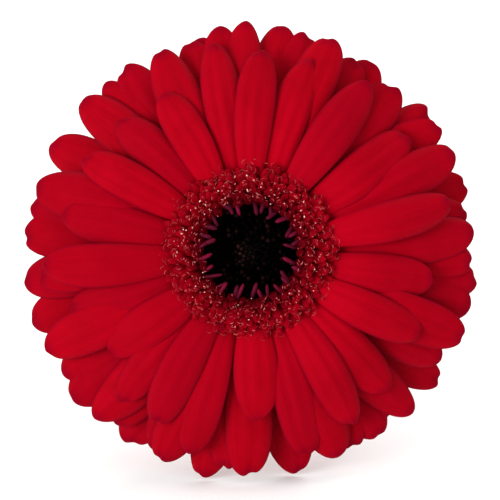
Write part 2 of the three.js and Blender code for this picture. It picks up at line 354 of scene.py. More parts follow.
def ray_surface(lie, rng, row):
    """A ray floret's face as a grid, out along it and across it.

    Out = base + share x length, less a notch in the tip. Across = half width x side, with the half width
    climbing smoothly to the widest place and closing as a rounded end. Height = the solid's own square
    law, plus a belly that is a sine of the share, the row's rise, and its droop towards the tip, less an
    arch of the side squared and a turned edge, plus ribs that are a cosine of the side, less two grooves,
    plus a slow twist and a wavy edge.
    """
    longer, widest, bluntest = row[:3]
    belly, rise, droop = np.array(row[3:]) * MM
    step = np.linspace(0.0, 1.0, RAY_ALONG)[:, None]
    share = 1.0 - (1.0 - step) ** 1.9
    quarter_turn = np.pi / 2 * 0.94
    side = np.sin(np.linspace(-1.0, 1.0, RAY_ACROSS) * quarter_turn)[None, :] / math.sin(quarter_turn)
    length = lie["reach"] * longer - lie["base"]

    past = np.clip((share - widest) / (1.0 - widest), 0.0, 0.9995)
    claw = CLAW_WIDTH + (1.0 - CLAW_WIDTH) * ease(share, -0.24, widest)
    round_tip = (1.0 - past ** rng.uniform(2.0, 3.0)) ** rng.uniform(0.48, bluntest)
    half = lie["width"] / 2 * rng.uniform(*RAY_FULLNESS) * claw * round_tip
    fullness = half / half.max()
    lopsided = 1.0 + rng.uniform(-0.1, 0.1) * side * ease(share, 0.3, 1.0)
    across = half * side * lopsided + lie["sway"] * 4.0 * share * (1.0 - share)

    notch_depth = rng.choice(RAY_NOTCHES) * MM
    notch_place = rng.uniform(-0.3, 0.3)
    notch = notch_depth * np.exp(-(((fullness * side - notch_place) / 0.2) ** 2))
    along = lie["base"] + share * length - notch * ease(share, 0.8, 1.0)

    drooped = (droop + rng.uniform(*RAY_DROOP_SPREAD) * MM) * ease(share, 0.45, 1.0) ** 1.3
    arch = rng.uniform(*RAY_ARCH) * MM * fullness * side**2
    turned = rng.uniform(*RAY_EDGE_TURN) * MM * ease(share, 0.4, 0.9) * fullness
    turned = turned * np.abs(side) ** 5 * (1.0 + rng.uniform(-0.8, 0.8) * side)
    ribs = RAY_RIB_DEPTH * np.cos(side * np.pi * 3.0)
    for place in RAY_GROOVES:
        ribs = ribs - rng.uniform(*RAY_GROOVE_DEPTH) * MM * np.exp(-(((side - place) / 0.12) ** 2))
    ribs = ribs * fullness * (1.0 - 0.7 * ease(share, 0.6, 1.0))
    twist = rng.uniform(-RAY_TWIST, RAY_TWIST) * ease(share, 0.3, 1.0) + lie["tilt"]
    wave = rng.uniform(*RAY_EDGE_WAVE) * MM * np.abs(side) * ease(share, 0.3, 0.7)
    wave = wave * np.sin(share * 9.0 + rng.uniform(0, 6))
    height = lie["height"][0] + lie["height"][1] * share + lie["height"][2] * share**2
    height = height + belly * np.sin(np.pi * share) + rise * ease(share, 0.0, 0.3) - drooped
    height = height - arch - turned + ribs + twist * half * side + wave

    outwards = np.array([*lie["outwards"], 0.0])
    sideways = np.array([-outwards[1], outwards[0], 0.0])
    upwards = np.array([0.0, 0.0, 1.0])
    face = along[..., None] * outwards + across[..., None] * sideways + height[..., None] * upwards
    return face, np.broadcast_to(side, height.shape), np.broadcast_to(share, height.shape)


def ray_material():
    """Velvety red with fine lengthwise veins, painted light brightening the claw, purplish at the rim with
    painted shade along its edges and tip, duller behind.
    """
    finish = Finish(
        "ray_floret",
        Specular_IOR_Level=0.06,
        Specular_Tint=(1.0, 0.1, 0.14, 1.0),
        Sheen_Weight=0.04,
        Sheen_Roughness=0.5,
        Sheen_Tint=(1.0, 0.02, 0.05, 1.0),
        Subsurface_Weight=0.12,
        Subsurface_Radius=(1.0, 0.08, 0.06),
        Subsurface_Scale=0.0008,
    )
    flat = finish.flat_place()
    veins = finish.noise(finish.stretched(flat, (26.0, 1.3, 1.0)), 1.0, 3.0)
    blotches = finish.noise(finish.place(), 160.0, 3.0)
    grain = finish.noise(finish.place(), 2600.0, 2.0)
    light = finish.steps(veins * 0.45 + blotches * 0.55, 0.34, 0.68)
    petal = finish.mix(light, *RAY_REDS)
    # Painted light: the colour brightens towards the claw, where the petals' roots lie among the shaded
    # gaps round the wreath.
    petal = finish.mix(finish.steps(finish.attribute("share"), 0.7, 0.2) * 0.75, petal, CLAW_PAINTED_LIGHT_RED)
    petal = finish.mix(finish.attribute("tone") * 0.5, petal, DEEP_RED)
    # Partly the purplish edge the petals have, partly painted shade along their edges and round their
    # tips.
    petal = finish.mix(finish.attribute("rim") * 0.55, petal, RIM_PURPLE_AND_SHADE)
    petal = finish.mix(finish.attribute("back") * 0.6, petal, BACK_RED)
    finish.set("Base Color", petal)
    finish.set("Roughness", 0.56 + grain * 0.16)
    finish.set("Normal", finish.bump(veins * 0.4 + grain * 0.25, 0.00016, 0.5))
    return finish.material


ray_red = ray_material()


def make_ray(name, lie, seed, row):
    """One ray floret as a closed shell that thins towards its edges."""
    rng = np.random.default_rng(seed)
    face, side, share = ray_surface(lie, rng, row)
    thin = RAY_THICKNESS * (1.0 - 0.6 * side**4) * (1.0 - 0.5 * ease(share, 0.8, 1.0))
    normals = surface_normals(face)
    tip_rows = share[:, 0] > 0.95
    normals[tip_rows] = normals[~tip_rows][-1]  # the last rows are too narrow for normals of their own
    under = face - normals * thin[..., None]
    points, faces = shell(face, under)
    count = side.size
    tone = np.full(2 * count, rng.uniform(0.0, 1.0))
    # The rim mark: partly a purplish edge colour, partly painted shade along the sides and round the tip.
    side_purple_and_shade = ease(np.abs(side), 0.86, 1.0) * ease(share, 0.2, 0.6)
    rim = np.maximum(side_purple_and_shade, ease(share, 0.93, 1.0))
    inner = np.zeros(side.shape)
    inner[1:-1, 1:-1] = 1.0
    attributes = {
        "share": np.tile(share.ravel(), 2),
        "back": np.append(np.zeros(count), inner.ravel()),
        "tone": tone,
        "rim": np.tile(rim.ravel(), 2),
    }
    over_veins, along_veins = np.array(VEIN_SHIFT) * seed
    uv = np.stack([side.ravel() * 0.5 + 0.5 + over_veins, share.ravel() + along_veins], axis=1)
    points = from_head(points)
    points[:, 2] = np.maximum(points[:, 2], FLOOR_GAP)
    piece = mesh_piece(name, points, faces, ray_red, attributes, np.tile(uv, (2, 1)))
    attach(piece, "root")
    return piece


row_of = {node: node.rsplit("_", 1)[0] for node in sorted(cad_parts)}
ray_nodes = [node for node, row in row_of.items() if row in RAY_ROWS]
for number, node in enumerate(ray_nodes):
    petal = make_ray("petal_" + node, ray_lie(node), 100 + number, RAY_ROWS[row_of[node]])
    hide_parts(node)


# ---- Hindmost ray florets ----
# Eighteen more petals of the outer row, which show only as tips between the others round the rim. They are
# made and rooted like the rest, and stand between the outer row and the middle one.
# Their directions are in degrees, anticlockwise round the face from its right-hand side.
HIND_DIRECTIONS = [11, 32, 62, 76, 98, 106, 132, 168, 188, 213, 233, 244, 264, 299, 311, 331, 345, 357]
HIND_RISE = 1.35 * MM  # over the outer row at the claw
HIND_TIP_RISE = 0.6 * MM  # more of it at the tip
HIND_SWAY = 1.0 * MM
HIND_TURN = 1.5  # degrees to either side, at most
HIND_REACH = 0.955, 1.0  # as a share of the outer row's
HIND_WIDTH = 0.8, 0.95  # as a share of the outer row's

outer_lies = [ray_lie(node) for node in outer_nodes]
outer_reach = np.mean([lie["reach"] for lie in outer_lies])
outer_height = np.mean([lie["height"] for lie in outer_lies], axis=0)
for number, direction in enumerate(HIND_DIRECTIONS):
    rng = np.random.default_rng(700 + number)
    angle = math.radians(direction + rng.uniform(-HIND_TURN, HIND_TURN))
    hind_lie = {
        "outwards": np.array([math.cos(angle), math.sin(angle)]),
        "base": outer_lies[0]["base"],
        "reach": outer_reach * rng.uniform(*HIND_REACH),
        "width": outer_lies[0]["width"] * rng.uniform(*HIND_WIDTH),
        "sway": rng.uniform(-HIND_SWAY, HIND_SWAY),
        "height": outer_height + np.array([HIND_RISE, HIND_TIP_RISE, 0.0]),
        "tilt": 0.0,
    }
    make_ray(f"petal_hind_ray_{number + 1:02d}", hind_lie, 300 + number, RAY_ROWS["outer_ray"])


# ---- Trans florets ----
# The wreath round the eye: 410 short florets in eight rings, each a dark red strap that rises from the
# receptacle's rim and bends outwards into a round lobe. The inner rings stand higher than the outer ones.
WREATH_RADII = [21.0, 19.9, 18.8, 17.6, 16.4, 15.3, 14.2, 13.2]  # mm, from the outermost ring in
WREATH_COUNTS = [62, 60, 58, 54, 50, 46, 42, 38]  # florets in each ring
WREATH_ROOT = 11.2 * MM
WREATH_BRIGHT, WREATH_DARK = 18.5 * MM, 12.5 * MM  # radii between which painted shade darkens the straps inwards
LOBE_LENGTH = 2.3 * MM
LOBE_WIDTH = 2.15 * MM
LOBE_THICKNESS = 0.16 * MM
LOBE_START = 0.6  # share of the strap at which its round end begins
LOBE_LENGTHS = 0.8, 1.2  # from floret to floret, as shares of the lobe's length
LOBE_WIDTHS = 0.7, 1.1  # the same for the width
BEND_RISE = -0.1, 0.7  # mm over the floret's height at the bend
END_RISE = -0.7, 0.3  # mm over it at the end
LOBE_HOLLOW = -0.3, 0.2  # mm that the edges stand over the middle
LOBE_SWAY = 0.5  # mm to either side at the end, at most
WREATH_TURN_JITTER = 0.4  # as a share of the ring's step
WREATH_RADIUS_JITTER = 0.75 * MM
WREATH_HEIGHT_JITTER = 0.4 * MM
SPOON_ROWS, SPOON_COLUMNS = 7, 5
SPOON_REDS = (0.19, 0.0002, 0.004), (0.24, 0.0003, 0.006)
# painted shade down between the lobes, at the straps' roots
SPOON_ROOT_SHADE = (0.15, 0.0002, 0.003)
# painted shade on the inner rings, towards the eye
SPOON_INWARD_SHADE = (0.05, 0.0002, 0.002)

wreath_points = to_head(solid_points("trans_florets"))
wreath_radius = np.hypot(wreath_points[:, 0], wreath_points[:, 1])
wreath_outside = wreath_radius.max()
wreath_rim_height = wreath_points[wreath_radius > wreath_outside - 1.2 * MM, 2].mean()
wreath_top = wreath_points[:, 2].max()
wreath_inside = wreath_radius.min()


def ringed(rings, rng, turn_jitter, radius_jitter):
    """Directions and radii of things set in rings, at even steps with some jitter.

    Direction = (number in the ring + half the ring's number) x the ring's step.
    """
    directions = []
    radii = []
    for number, (radius, count) in enumerate(rings):
        step = 2 * np.pi / count
        places = np.arange(count) + number / 2 + rng.uniform(-turn_jitter, turn_jitter, count)
        directions.append(places * step)
        radii.append(radius * MM + rng.uniform(-radius_jitter, radius_jitter, count))
    return np.concatenate(directions), np.concatenate(radii)


def wreath_height(radius):
    """The wreath's top at a radius: from its rim up to its inner edge along a quarter of a sine."""
    share = np.clip((wreath_outside - radius) / (wreath_outside - wreath_inside), 0.0, 1.0)
    return wreath_rim_height + (wreath_top - wreath_rim_height) * np.sin(share * np.pi / 2)


def about_axis(direction, radius, sideways, height):
    """Points of the head's frame from a direction round its axis, a radius, a step aside and a height."""
    x = radius * np.cos(direction) - sideways * np.sin(direction)
    y = radius * np.sin(direction) + sideways * np.cos(direction)
    return np.stack(np.broadcast_arrays(x, y, height), axis=-1)


def spoon_shells(direction, radius, end_height, rng):
    """Straps from the receptacle's rim to a lobe each.

    Out and up = a Bezier curve with three points: the root, a bend one lobe's length short of the end,
    and the end. Across = half width x side, with a round end. The lobe is hollowed by the square of the
    side.
    """
    count = len(direction)

    def each(low, high):
        return rng.uniform(low, high, (count, 1, 1))

    share = (1.0 - (1.0 - np.linspace(0.0, 1.0, SPOON_ROWS)) ** 1.4)[None, :, None]
    side = np.linspace(-1.0, 1.0, SPOON_COLUMNS)[None, None, :]
    end = radius[:, None, None]
    top = end_height[:, None, None]
    bend = end - LOBE_LENGTH * each(*LOBE_LENGTHS)
    out = (1.0 - share) ** 2 * WREATH_ROOT + 2.0 * share * (1.0 - share) * bend + share**2 * end
    height = 2.0 * share * (1.0 - share) * (top + each(*BEND_RISE) * MM)
    height = height + share**2 * (top + each(*END_RISE) * MM)
    past = np.clip((share - LOBE_START) / (1.0 - LOBE_START), 0.0, 0.985)
    half = LOBE_WIDTH / 2 * each(*LOBE_WIDTHS) * (0.3 + 0.7 * ease(share, 0.0, 0.65))
    half = half * (1.0 - past**2.2) ** 0.5
    across = half * side + each(-LOBE_SWAY, LOBE_SWAY) * MM * share**2
    height = height + each(*LOBE_HOLLOW) * MM * side**2 * ease(share, 0.3, 0.9)
    front = about_axis(direction[:, None, None], out, across, height)
    back = front - surface_normals(front) * LOBE_THICKNESS
    points, faces = shell(front, back)
    shares = np.broadcast_to(share, (count, SPOON_ROWS, SPOON_COLUMNS)).reshape(count, -1)
    tones = np.repeat(rng.uniform(0.0, 1.0, (count, 1)), 2 * shares.shape[1], axis=1)
    # How much painted shade darkens each strap, more towards the eye.
    inward_shade = ease(-radius, -WREATH_BRIGHT, -WREATH_DARK)[:, None]
    inward_shade = np.broadcast_to(inward_shade, tones.shape)
    return points, faces, {"share": np.tile(shares, (1, 2)), "tone": tones, "inward_shade": inward_shade}


def spoon_material():
    """Dark red and soft, with painted shade: blackish towards the roots between the lobes, and darker
    towards the eye.
    """
    finish = Finish(
        "trans_floret",
        Specular_IOR_Level=0.06,
        Specular_Tint=(1.0, 0.1, 0.14, 1.0),
        Sheen_Weight=0.03,
        Sheen_Roughness=0.5,
        Sheen_Tint=(1.0, 0.02, 0.04, 1.0),
        Subsurface_Weight=0.4,
        Subsurface_Radius=(1.0, 0.05, 0.05),
        Subsurface_Scale=0.0012,
    )
    grain = finish.noise(finish.place(), 1500.0, 2.0)
    spoon = finish.mix(finish.attribute("tone"), *SPOON_REDS)
    # Painted shade: blackish towards the roots, down between the lobes.
    spoon = finish.mix(finish.steps(finish.attribute("share"), 0.85, 0.25), spoon, SPOON_ROOT_SHADE)
    # Painted shade: darker towards the eye.
    spoon = finish.mix(finish.attribute("inward_shade") * 0.95, spoon, SPOON_INWARD_SHADE)
    finish.set("Base Color", spoon)
    finish.set("Roughness", 0.52 + grain * 0.2)
    finish.set("Normal", finish.bump(grain, 0.00012, 0.5))
    return finish.material


wreath_rng = np.random.default_rng(21)
wreath_direction, wreath_reach = ringed(
    zip(WREATH_RADII, WREATH_COUNTS), wreath_rng, WREATH_TURN_JITTER, WREATH_RADIUS_JITTER
)
wreath_unevenness = wreath_rng.uniform(-WREATH_HEIGHT_JITTER, WREATH_HEIGHT_JITTER, len(wreath_reach))
wreath_end = wreath_height(wreath_reach) + wreath_unevenness
points, faces, attributes = spoon_shells(wreath_direction, wreath_reach, wreath_end, wreath_rng)
wreath = mesh_piece("trans_floret_wreath", from_head(points), faces, spoon_material(), attributes)
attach(wreath, "root")
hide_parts("trans_florets")


# ---- Lips of the trans florets ----
# Each trans floret's inner lip is two threads, paler than the rest, that curl into little hooks along the
# lobe's end. Their pale pink is partly painted highlight, drawing fine pink crescents of light over the
# wreath.
LIPS_PER_LOBE = 2
LIP_STEPS = 7
LIP_SIDES = 4
LIP_RADIUS = 0.055, 0.11  # mm
LIP_CURL_RADIUS = 0.35, 0.65  # mm
LIP_INWARDS = 0.0, 1.8  # mm from the lobe's end
LIP_RISE = 0.3, 1.1  # mm over it
OUTER_LIPS = 16.0 * MM, 20.0 * MM  # radii between which the lips grow flatter, finer and darker
TUBE_END = 0.6  # how far a tube's end stands out, as a share of its radius
# the pale pink end is partly the lips' own colour, partly painted highlight
LIP_RED_TO_HIGHLIGHT_PINK = (0.26, 0.002, 0.008), (0.64, 0.15, 0.14)


def tubes(paths, radii, sides):
    """Closed round tubes along paths that are bodies x steps x 3, with a radius for each step.

    A section's points = path + radius x (cosine x one normal + sine x the other), with both normals
    square to the path. Each end closes on a point.
    """
    bodies, steps = paths.shape[:2]
    tangent = np.gradient(paths, axis=1)
    tangent /= np.maximum(np.linalg.norm(tangent, axis=-1, keepdims=True), 1e-12)
    chord = np.abs(paths[:, -1] - paths[:, 0])
    least = np.eye(3)[np.argmin(chord, axis=-1)][:, None, :]
    first = np.cross(tangent, least)
    first /= np.maximum(np.linalg.norm(first, axis=-1, keepdims=True), 1e-12)
    second = np.cross(tangent, first)
    turn = np.linspace(0.0, 2 * np.pi, sides, endpoint=False)[:, None]
    ring = np.cos(turn) * first[:, :, None] + np.sin(turn) * second[:, :, None]
    rings = paths[:, :, None] + ring * radii[..., None, None]
    near_end = paths[:, 0] - tangent[:, 0] * radii[:, :1] * TUBE_END
    far_end = paths[:, -1] + tangent[:, -1] * radii[:, -1:] * TUBE_END
    points = np.concatenate([rings.reshape(bodies, -1, 3), near_end[:, None], far_end[:, None]], axis=1)
    index = np.arange(steps * sides).reshape(steps, sides)
    around = np.roll(index, -1, axis=1)
    wall = np.stack([index[:-1], around[:-1], around[1:], index[1:]], axis=-1).reshape(-1, 4)
    near_cap = np.stack([np.full(sides, steps * sides), around[0], index[0]], axis=-1)
    far_cap = np.stack([np.full(sides, steps * sides + 1), index[-1], around[-1]], axis=-1)
    offset = (steps * sides + 2) * np.arange(bodies)[:, None, None]
    walls = (wall[None] + offset).reshape(-1, 4)
    caps = (np.concatenate([near_cap, far_cap])[None] + offset).reshape(-1, 3)
    return points.reshape(-1, 3), walls.tolist() + caps.tolist()


def lip_material():
    """Red to pale pink, a little waxy; the pale pink is partly painted highlight."""
    finish = Finish("trans_floret_lip", Specular_IOR_Level=0.25, Roughness=0.4)
    finish.set("Base Color", finish.mix(finish.attribute("tone"), *LIP_RED_TO_HIGHLIGHT_PINK))
    return finish.material


lip_rng = np.random.default_rng(33)
lobes = np.repeat(np.arange(len(wreath_reach)), LIPS_PER_LOBE)
lips_count = len(lobes)
lip_direction = wreath_direction[lobes] + lip_rng.normal(0.0, 0.04, lips_count)
lip_radius = wreath_reach[lobes] - lip_rng.uniform(*LIP_INWARDS, lips_count) * MM
lip_height = wreath_end[lobes] + lip_rng.uniform(*LIP_RISE, lips_count) * MM
outer_share = ease(lip_radius, *OUTER_LIPS)
curl_angle = lip_rng.uniform(0.9, 2.2, lips_count) * (0.85 + 0.3 * outer_share)
curl = curl_angle[:, None] * np.linspace(-0.5, 0.5, LIP_STEPS)
curl_radius = (lip_rng.uniform(*LIP_CURL_RADIUS, lips_count) * (1.0 + 0.4 * outer_share))[:, None] * MM
facing = (lip_direction + lip_rng.normal(0.0, 0.8, lips_count))[:, None]
hook_out = np.cos(curl) * curl_radius
hook_side = np.sin(curl) * curl_radius
lip_paths = about_axis(lip_direction, lip_radius, 0.0, lip_height)[:, None] + np.stack(
    [
        hook_out * np.cos(facing) - hook_side * np.sin(facing),
        hook_out * np.sin(facing) + hook_side * np.cos(facing),
        lip_rng.uniform(-0.8, 0.8, lips_count)[:, None] * hook_side,
    ],
    axis=-1,
)
thin_ends = 1.0 - 0.75 * np.linspace(-1.0, 1.0, LIP_STEPS) ** 2
lip_girth = lip_rng.uniform(*LIP_RADIUS, lips_count) * (1.0 - 0.35 * outer_share) * MM
lip_radii = lip_girth[:, None] * thin_ends
points, faces = tubes(lip_paths, lip_radii, LIP_SIDES)
# How pale each lip is: partly its own colour, partly painted highlight, fainter on the outer lips.
lip_paleness_and_highlight = lip_rng.uniform(0.0, 1.0, lips_count) ** 2.6 * (1.0 - 0.35 * outer_share)
tones = np.repeat(lip_paleness_and_highlight, LIP_STEPS * LIP_SIDES + 2)
lips = mesh_piece("trans_floret_lips", from_head(points), faces, lip_material(), {"tone": tones})
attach(lips, "root")


# ---- Anther tubes ----
# The open disc florets stand in a ring at the edge of the eye. All that shows of each is its tube of
# joined anthers, a purple rod about a millimetre thick that leans in over the buds.
ANTHER_TUBES = 32
ANTHER_STEPS = 9
ANTHER_SIDES = 10
ANTHER_LENGTH = 2.7, 4.5  # mm
ANTHER_FOOT = 0.3, 2.8  # mm outside the eye
ANTHER_SKEW = 1.9  # mm to either side at the tip, at most
ANTHER_LIFT = 0.4 * MM
ANTHER_RISE = 0.8, 2.0  # mm
ANTHER_GIRTH = 0.40, 0.60  # mm of radius
ANTHER_PURPLES = (0.035, 0.0004, 0.004), (0.13, 0.0015, 0.015)
ANTHER_FOOT_DARK = (0.02, 0.0003, 0.0015)
ANTHER_DUST = (0.07, 0.002, 0.014)

anther_points = to_head(solid_points("disc_florets"))
anther_radius = np.hypot(anther_points[:, 0], anther_points[:, 1])
anther_top = anther_points[:, 2].max()
eye_radius = anther_radius.max()


def anther_material():
    """Dusky purple, almost black towards the foot, with a fine grain."""
    finish = Finish("anther", Specular_IOR_Level=0.2, Specular_Tint=(1.0, 0.2, 0.4, 1.0))
    grain = finish.noise(finish.place(), 1800.0, 2.0)
    colour = finish.mix(finish.attribute("tone"), *ANTHER_PURPLES)
    dark_foot = finish.steps(finish.attribute("share"), 0.7, 0.1) * 0.85
    colour = finish.mix(dark_foot, colour, ANTHER_FOOT_DARK)
    colour = finish.mix(grain * 0.4, colour, ANTHER_DUST)
    finish.set("Base Color", colour)
    finish.set("Roughness", 0.45 + grain * 0.2)
    finish.set("Normal", finish.bump(grain, 0.0001, 0.5))
    return finish.material


def round_end(share, start):
    """A rod's radius towards its tip: 1 up to the start share, then the square root of 1 - t^2."""
    return (1.0 - np.clip((share - start) / (1.0 - start), 0.0, 0.92) ** 2) ** 0.5


anther_rng = np.random.default_rng(5)
anther_step = 2 * np.pi / ANTHER_TUBES
anther_place = np.arange(ANTHER_TUBES) + anther_rng.uniform(-0.45, 0.45, ANTHER_TUBES)
anther_direction = anther_place * anther_step
anther_share = np.linspace(0.0, 1.0, ANTHER_STEPS)[None, :]
anther_length = anther_rng.uniform(*ANTHER_LENGTH, ANTHER_TUBES)[:, None] * MM
anther_foot = eye_radius + anther_rng.uniform(*ANTHER_FOOT, ANTHER_TUBES)[:, None] * MM
anther_skew = anther_rng.uniform(-ANTHER_SKEW, ANTHER_SKEW, ANTHER_TUBES)[:, None] * MM
anther_rise = anther_rng.uniform(*ANTHER_RISE, ANTHER_TUBES)[:, None] * MM
anther_paths = about_axis(
    anther_direction[:, None],
    anther_foot - anther_length * anther_share,
    anther_skew * anther_share,
    anther_top + ANTHER_LIFT + anther_rise * np.sin(anther_share * np.pi * 0.6),
)
anther_girth = anther_rng.uniform(*ANTHER_GIRTH, ANTHER_TUBES)[:, None] * MM
anther_radii = anther_girth * round_end(anther_share, 0.8) * (0.65 + 0.35 * ease(anther_share, 0.0, 0.35))
points, faces = tubes(anther_paths, anther_radii, ANTHER_SIDES)
shares = np.repeat(anther_share, ANTHER_SIDES, axis=1)
shares = np.append(shares, [[0.0, 1.0]], axis=1)
anther_tone = np.repeat(anther_rng.uniform(0.0, 1.0, ANTHER_TUBES) ** 1.4, shares.size)
anther_attributes = {"share": np.tile(shares, (ANTHER_TUBES, 1)), "tone": anther_tone}
anthers = mesh_piece("anther_tubes", from_head(points), faces, anther_material(), anther_attributes)
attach(anthers, "root")
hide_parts("disc_florets")


# ---- Stigma tips ----
# Tiny pale beads, three tenths of a millimetre across, where the stigmas show: one at each anther's foot
# and the rest among the inner trans florets.
LOOSE_BEADS = 70
BEAD_SIDES = 6
BEAD_PROFILE = [(-0.9, 0.5), (-0.5, 0.95), (0.5, 0.95), (0.9, 0.5)]  # place along the bead, radius
BEAD_RADIUS = 0.09, 0.19  # mm
BEAD_RING = 13.0, 18.5  # mm from the axis
BEAD_RISE = 1.0 * MM  # over the wreath
BEAD_FOOT_RISE = 0.9 * MM  # over the anthers' feet
BEAD_PINKS = (0.42, 0.06, 0.06), (0.90, 0.50, 0.42)

bead_rng = np.random.default_rng(8)
beads_all = LOOSE_BEADS + ANTHER_TUBES
bead_direction = np.append(bead_rng.uniform(0.0, 2 * np.pi, LOOSE_BEADS), anther_direction)
bead_radius = np.append(bead_rng.uniform(*BEAD_RING, LOOSE_BEADS) * MM, anther_foot[:, 0])
bead_height = np.full(beads_all, anther_top + BEAD_FOOT_RISE)
bead_height[:LOOSE_BEADS] = wreath_height(bead_radius[:LOOSE_BEADS]) + BEAD_RISE
bead_size = bead_rng.uniform(*BEAD_RADIUS, beads_all)[:, None] * MM
bead_middle = about_axis(bead_direction, bead_radius, 0.0, bead_height)[:, None]
bead_way = bead_rng.normal(size=(beads_all, 1, 3))
bead_way /= np.linalg.norm(bead_way, axis=-1, keepdims=True)
bead_places = np.array([place for place, _ in BEAD_PROFILE])[:, None]
bead_length = bead_size[..., None] * bead_rng.uniform(0.8, 1.9, (beads_all, 1, 1))
points, faces = tubes(
    bead_middle + bead_way * bead_places * bead_length,
    bead_size * np.array([radius for _, radius in BEAD_PROFILE]),
    BEAD_SIDES,
)
bead_finish = Finish("stigma_tip", Specular_IOR_Level=0.5, Roughness=0.35)
bead_colour = bead_finish.mix(bead_finish.attribute("tone"), *BEAD_PINKS)
bead_finish.set("Base Color", bead_colour)
tones = np.repeat(bead_rng.uniform(0.0, 1.0, beads_all), len(BEAD_PROFILE) * BEAD_SIDES + 2)
beads = mesh_piece("stigma_tips", from_head(points), faces, bead_finish.material, {"tone": tones})
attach(beads, "root")


# ---- Closed buds ----
# The eye's middle: disc florets that haven't opened, packed as a sunflower packs its seeds, almost black.
# They stand on the receptacle's face, in a shallow dish with the youngest in the middle.
BUDS = 340
BUD_SIDES = 6
BUD_LENGTH = 4.6 * MM
BUD_PROFILE = [(0.0, 0.9), (0.5, 1.0), (0.85, 0.85), (1.0, 0.4)]  # share of the length, of the radius
BUD_SPREAD = 1.12  # how far they reach, as a share of the eye's radius
BUD_RADIUS = 0.54, 0.22  # mm in the middle, and what the outermost have more
YOUNGEST_BUDS = np.array([-2.0, -1.2]) * MM  # how far they are from the eye's middle
DISH_DEPTH = 0.8 * MM
DISH_EDGE = 0.8 * MM  # how much higher the outermost buds stand
GOLDEN_ANGLE = np.pi * (3.0 - math.sqrt(5.0))
BUD_COLOURS = (0.0006, 0.0002, 0.0003), (0.034, 0.011, 0.011)

bud_top = to_head(bud_points)[:, 2].max()
bud_number = np.arange(BUDS)
bud_share = np.sqrt((bud_number + 0.5) / BUDS)
bud_out = eye_radius * BUD_SPREAD * bud_share
bud_rng = np.random.default_rng(13)


def bud_material():
    """Almost black and dull, faintly brown on some of the tips."""
    finish = Finish("closed_bud", Specular_IOR_Level=0.0, Roughness=0.8)
    finish.set("Base Color", finish.mix(finish.attribute("tone"), *BUD_COLOURS))
    finish.set("Normal", finish.bump(finish.noise(finish.place(), 2200.0, 2.0), 0.0001, 0.6))
    return finish.material


bud_places = np.array([place for place, _ in BUD_PROFILE])
bud_radii = np.array([radius for _, radius in BUD_PROFILE])
bud_size = (BUD_RADIUS[0] + BUD_RADIUS[1] * bud_share) * bud_rng.uniform(0.9, 1.1, BUDS) * MM
bud_lean = bud_share * 0.5 * MM
bud_dip = DISH_DEPTH * np.exp(-((bud_share / 0.4) ** 2))
bud_tip = bud_top - bud_dip + bud_rng.uniform(-0.25, 0.25, BUDS) * MM + DISH_EDGE * bud_share**4
bud_paths = about_axis(
    (bud_number * GOLDEN_ANGLE)[:, None],
    bud_out[:, None] - bud_lean[:, None] * bud_places,
    0.0,
    bud_tip[:, None] + (bud_places - 1.0) * BUD_LENGTH,
)
bud_paths[..., :2] += YOUNGEST_BUDS * (1.0 - bud_share[:, None, None]) ** 1.5
points, faces = tubes(bud_paths, bud_size[:, None] * bud_radii, BUD_SIDES)
bud_tone = bud_rng.uniform(0.0, 1.0, BUDS) ** 7 * 0.5
bud_tone = bud_tone + np.exp(-((bud_share / 0.2) ** 4)) * bud_rng.uniform(0, 1, BUDS)
tones = np.repeat(bud_tone, len(BUD_PROFILE) * BUD_SIDES + 2)
buds = mesh_piece("closed_buds", from_head(points), faces, bud_material(), {"tone": tones})
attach(buds, "root")
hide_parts("disc_buds")


# ---- Involucre ----
# The green cup behind the florets: 42 pointed bracts in three rows, each row over the next one's roots,
# growing from the receptacle's back and lying close along it, with the tips a little free.
BRACT_ROWS = [  # count, root and tip as shares of the cup's length, lift in mm
    (15, 0.0, 0.62, 0.9),
    (14, 0.1, 0.8, 0.5),
    (13, 0.3, 1.0, 0.1),
]
BRACT_LENGTHS, BRACT_SIDES = 11, 7
BRACT_WIDTH = 5.2 * MM
BRACT_SHELL = 0.35 * MM
BRACT_ARCH = 0.35 * MM
CUP_STEP = 0.8 * MM  # up from the stem at the bracts' roots
CUP_INSET = 2.4 * MM  # of the cup's rim, which leaves room for the bracts
CUP_SHORT = 0.8 * MM  # how far the bracts end below the rim
BRACT_GREENS = (0.035, 0.085, 0.014), (0.10, 0.185, 0.038)
# painted shade at the roots, in the gaps and under the overlapping bracts
BRACT_ROOT_SHADE = (0.025, 0.06, 0.010)
BRACT_EDGE_GREEN = (0.24, 0.30, 0.10)
BRACT_TIP_BROWN = (0.13, 0.05, 0.02)

cup = to_head(cup_points)
cup_radius = np.hypot(cup[:, 0], cup[:, 1])
cup_low, cup_high = cup[:, 2].min(), cup[:, 2].max()
neck_radius = cup_radius[cup[:, 2] < cup_low + 1.0 * MM].min()
cup_widest = cup_radius.max()


def cup_place(share):
    """The cup's outside at a share of its length: [radius, height].

    Out = the stem's radius plus a sine, with a first step up from the stem. Up = a straight line.
    """
    radius = neck_radius - CUP_STEP / 2 + CUP_STEP * ease(share, 0.0, 0.1)
    radius = radius + (cup_widest - neck_radius - CUP_INSET) * np.sin(share * np.pi / 2) ** 0.85
    return radius, cup_low + (cup_high - CUP_SHORT - cup_low) * share


